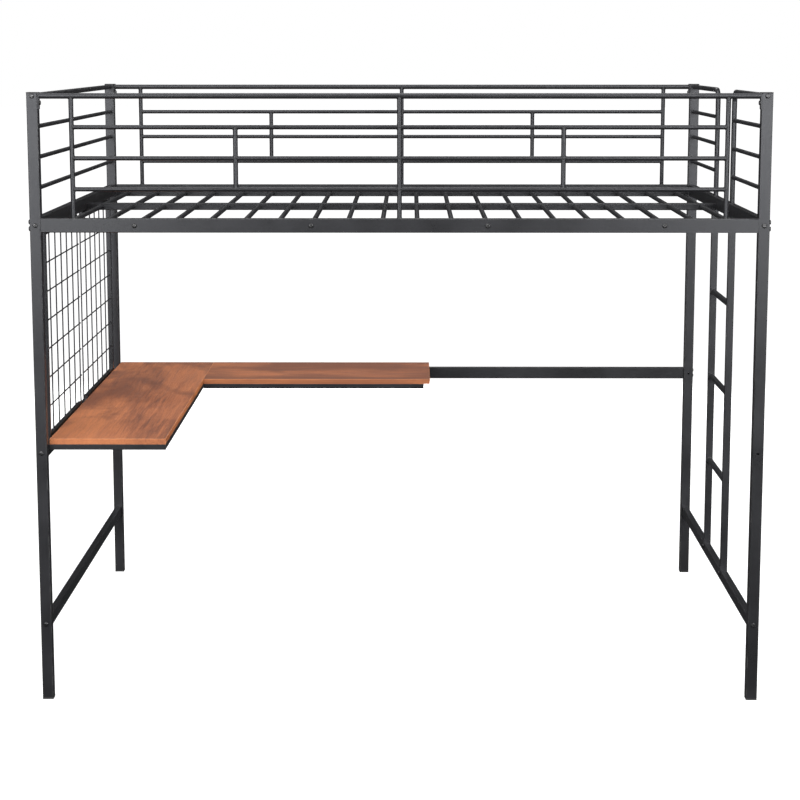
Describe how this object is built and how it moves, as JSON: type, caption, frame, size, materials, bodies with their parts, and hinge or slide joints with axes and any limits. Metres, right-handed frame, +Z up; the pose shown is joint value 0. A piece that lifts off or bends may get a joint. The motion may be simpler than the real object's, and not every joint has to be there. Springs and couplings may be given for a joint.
{
  "type": "loft bed with desk",
  "caption": "Metal-framed loft bed with guardrails, an end ladder, a slatted deck, an L-shaped wooden desk beneath it and a wire grid panel above the desk.",
  "frame": {"origin": "centre of the rectangle round the four feet, on the floor", "axes": "+X along the bed towards the ladder end, +Y from the open front to the back, +Z up"},
  "size_m": [1.988, 1.438, 1.67],
  "materials": {
    "frame_steel": "satin powder coat",
    "wire_steel": "satin powder coat",
    "bolt_steel": "blackened",
    "cap_plastic": "moulded, matte",
    "desk_wood": "wood-grain laminate, satin"
  },
  "bodies": {
    "root": {"post_front_left": "frame_steel", "post_front_right": "frame_steel", "post_back_left": "frame_steel", "post_back_right": "frame_steel", "side_rail_front": "frame_steel", "side_rail_back": "frame_steel", "end_rail_left": "frame_steel", "end_rail_right": "frame_steel", "slat_ledge_front": "frame_steel", "slat_ledge_back": "frame_steel", "cross_beam": "frame_steel", "guard_front_top": "frame_steel", "guard_front_uprights": "frame_steel", "guard_front_bars": "frame_steel", "guard_back_top": "frame_steel", "guard_back_uprights": "frame_steel", "guard_back_bars": "frame_steel", "guard_left_bars": "frame_steel", "guard_right_loop_front": "frame_steel", "guard_right_loop_back": "frame_steel", "guard_right_bars": "frame_steel", "ladder_rail_front": "frame_steel", "ladder_rail_back": "frame_steel", "ladder_rungs": "frame_steel", "brace_left": "frame_steel", "brace_right": "frame_steel", "desk_frame": "frame_steel", "desk_rail_side": "frame_steel", "desk_rail_back": "frame_steel", "grid_uprights": "frame_steel", "grid_bars": "frame_steel", "slat_01": "frame_steel", "slat_02": "frame_steel", "slat_03": "frame_steel", "slat_04": "frame_steel", "slat_05": "frame_steel", "slat_06": "frame_steel", "slat_07": "frame_steel", "slat_08": "frame_steel", "slat_09": "frame_steel", "slat_10": "frame_steel", "slat_11": "frame_steel", "slat_12": "frame_steel", "slat_13": "frame_steel", "slat_14": "frame_steel", "slat_15": "frame_steel", "slat_16": "frame_steel", "slat_17": "frame_steel", "slat_18": "frame_steel", "slat_19": "frame_steel", "slat_20": "frame_steel", "foot_caps": "cap_plastic", "post_plugs": "cap_plastic", "desk_board_side": "desk_wood", "desk_board_back": "desk_wood", "post_bolts_x": "bolt_steel", "post_bolts_y": "bolt_steel", "deck_bolts": "bolt_steel", "grid_wires_front": "wire_steel", "grid_wires_back": "wire_steel"}
  },
  "joints": []
}
